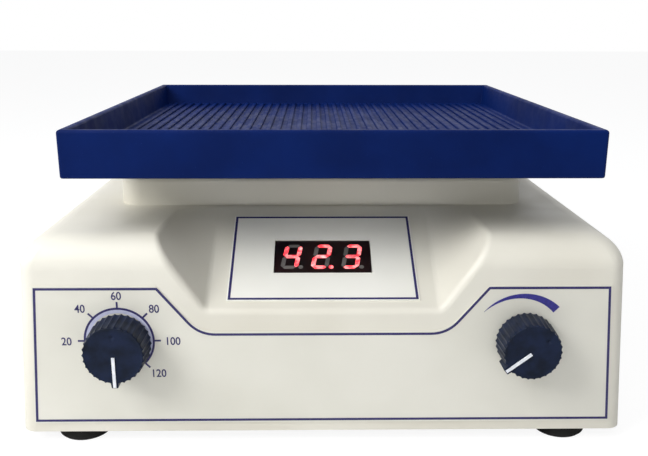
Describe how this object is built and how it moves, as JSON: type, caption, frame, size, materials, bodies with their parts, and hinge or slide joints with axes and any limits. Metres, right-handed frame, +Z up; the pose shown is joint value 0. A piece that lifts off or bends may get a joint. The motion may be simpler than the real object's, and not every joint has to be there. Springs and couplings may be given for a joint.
{
  "type": "orbital shaker",
  "caption": "Bench-top orbital shaker: a ribbed rubber tray on a crank-driven platform above a moulded case with a timer, a speed dial and a digital speed display.",
  "frame": {"origin": "centre of the overall footprint, on the bench", "axes": "+Z up, front with the dials facing -Y, +X to the right seen from the front"},
  "size_m": [0.248, 0.2582, 0.128],
  "materials": {
    "case_plastic": "fine satin moulding",
    "zinc_steel": "zinc plated sheet",
    "foot_rubber": "matt",
    "screw_steel": "zinc plated",
    "label_film": "printed polyester film",
    "display_lens": "black potted module",
    "board_laminate": "green resist",
    "component_plastic": "moulded and sleeved",
    "timer_plastic": "moulded case",
    "control_metal": "passivated case",
    "spindle_steel": "turned",
    "knob_plastic": "dark blue moulding",
    "pointer_plastic": "white inlay",
    "cast_alloy": "machined",
    "plated_alloy": "cast and machined",
    "bearing_steel": "ground",
    "bush_bronze": "sintered bronze",
    "crank_steel": "turned",
    "spring_steel": "phosphated",
    "magnet_plating": "nickel plated",
    "belt_rubber": "matt",
    "motor_paint": "black enamel",
    "tray_rubber": "deep blue, moulded",
    "core_lacquer": "varnished plates",
    "winding_tape": "yellow tape",
    "fitting_plastic": "black moulding",
    "rocker_plastic": "black moulding",
    "contact_metal": "plated"
  },
  "bodies": {
    "base": {"housing": "case_plastic", "base_plate": "zinc_steel", "feet": "foot_rubber", "foot_screws": "screw_steel", "control_label": "label_film", "display_label": "label_film", "led_display": "display_lens", "display_board": "board_laminate", "display_screws": "screw_steel", "timer_body": "timer_plastic", "timer_nut": "screw_steel", "speed_control": "control_metal", "speed_nut": "screw_steel", "chassis_plate": "zinc_steel", "chassis_screws": "screw_steel", "bearing_housing": "cast_alloy", "main_bearings": "bearing_steel", "idler_bushes": "bush_bronze", "drive_belt": "belt_rubber", "motor": "motor_paint", "motor_bracket": "zinc_steel", "motor_screws": "screw_steel", "bracket_screws": "screw_steel", "speed_sensor": "component_plastic", "control_board": "board_laminate", "board_standoffs": "component_plastic", "board_components": "component_plastic", "transformer_core": "core_lacquer", "transformer_bobbin": "winding_tape", "power_inlet": "fitting_plastic", "inlet_pins": "contact_metal", "inlet_screws": "screw_steel", "power_switch": "fitting_plastic"},
    "crank": {"main_shaft": "spindle_steel", "crank_disc": "crank_steel", "crank_pin": "spindle_steel", "counterweight": "crank_steel", "drive_pulley": "cast_alloy", "pulley_magnet": "magnet_plating"},
    "platform": {"platform": "plated_alloy", "platform_bearing": "bearing_steel", "platform_bushes": "bush_bronze", "tray": "tray_rubber"},
    "motor_rotor": {"motor_shaft": "spindle_steel", "motor_pulley": "cast_alloy"},
    "timer_dial": {"timer_spindle": "spindle_steel", "timer_knob": "knob_plastic", "timer_pointer": "pointer_plastic"},
    "speed_dial": {"speed_spindle": "spindle_steel", "speed_knob": "knob_plastic", "speed_pointer": "pointer_plastic"},
    "power_rocker": {"power_rocker": "rocker_plastic"},
    "idler_front_left": {"idler_front_left": "crank_steel", "ring_front_left": "spring_steel"},
    "idler_front_right": {"idler_front_right": "crank_steel", "ring_front_right": "spring_steel"},
    "idler_rear_left": {"idler_rear_left": "crank_steel", "ring_rear_left": "spring_steel"},
    "idler_rear_right": {"idler_rear_right": "crank_steel", "ring_rear_right": "spring_steel"}
  },
  "joints": [
    {"name": "crank_spin", "type": "hinge", "parent": "base", "child": "crank", "pos_m": [0, 0.00441, 0.1046], "axis": [0, 0, 1], "continuous": true},
    {"name": "platform_spin", "type": "hinge", "parent": "crank", "child": "platform", "pos_m": [0.00399, -0.00476, 0.1052], "axis": [0, 0, 1], "continuous": true},
    {"name": "motor_spin", "type": "hinge", "parent": "base", "child": "motor_rotor", "pos_m": [0, 0.07941, 0.045], "axis": [0, 0, 1], "continuous": true},
    {"name": "idler_front_left_spin", "type": "hinge", "parent": "base", "child": "idler_front_left", "pos_m": [-0.068, -0.03759, 0.1008], "axis": [0, 0, 1], "continuous": true},
    {"name": "idler_front_right_spin", "type": "hinge", "parent": "base", "child": "idler_front_right", "pos_m": [0.068, -0.03759, 0.1008], "axis": [0, 0, 1], "continuous": true},
    {"name": "idler_rear_left_spin", "type": "hinge", "parent": "base", "child": "idler_rear_left", "pos_m": [-0.068, 0.04641, 0.1008], "axis": [0, 0, 1], "continuous": true},
    {"name": "idler_rear_right_spin", "type": "hinge", "parent": "base", "child": "idler_rear_right", "pos_m": [0.068, 0.04641, 0.1008], "axis": [0, 0, 1], "continuous": true},
    {"name": "timer_turn", "type": "hinge", "parent": "base", "child": "timer_dial", "pos_m": [-0.0805, -0.11659, 0.045], "axis": [0, 1, 0], "range_deg": [0, 315]},
    {"name": "speed_turn", "type": "hinge", "parent": "base", "child": "speed_dial", "pos_m": [0.0805, -0.11659, 0.045], "axis": [0, 1, 0], "range_deg": [-22, 278]},
    {"name": "power_rock", "type": "hinge", "parent": "base", "child": "power_rocker", "pos_m": [0.03, 0.12301, 0.034], "axis": [1, 0, 0], "range_deg": [-24, 0]}
  ],
  "couplings": [
    {"joint": "platform_spin", "follows": "crank_spin", "ratio": -1},
    {"joint": "motor_spin", "follows": "crank_spin", "ratio": 3.1352},
    {"joint": "idler_front_left_spin", "follows": "crank_spin", "ratio": 1},
    {"joint": "idler_front_right_spin", "follows": "crank_spin", "ratio": 1},
    {"joint": "idler_rear_left_spin", "follows": "crank_spin", "ratio": 1},
    {"joint": "idler_rear_right_spin", "follows": "crank_spin", "ratio": 1}
  ]
}
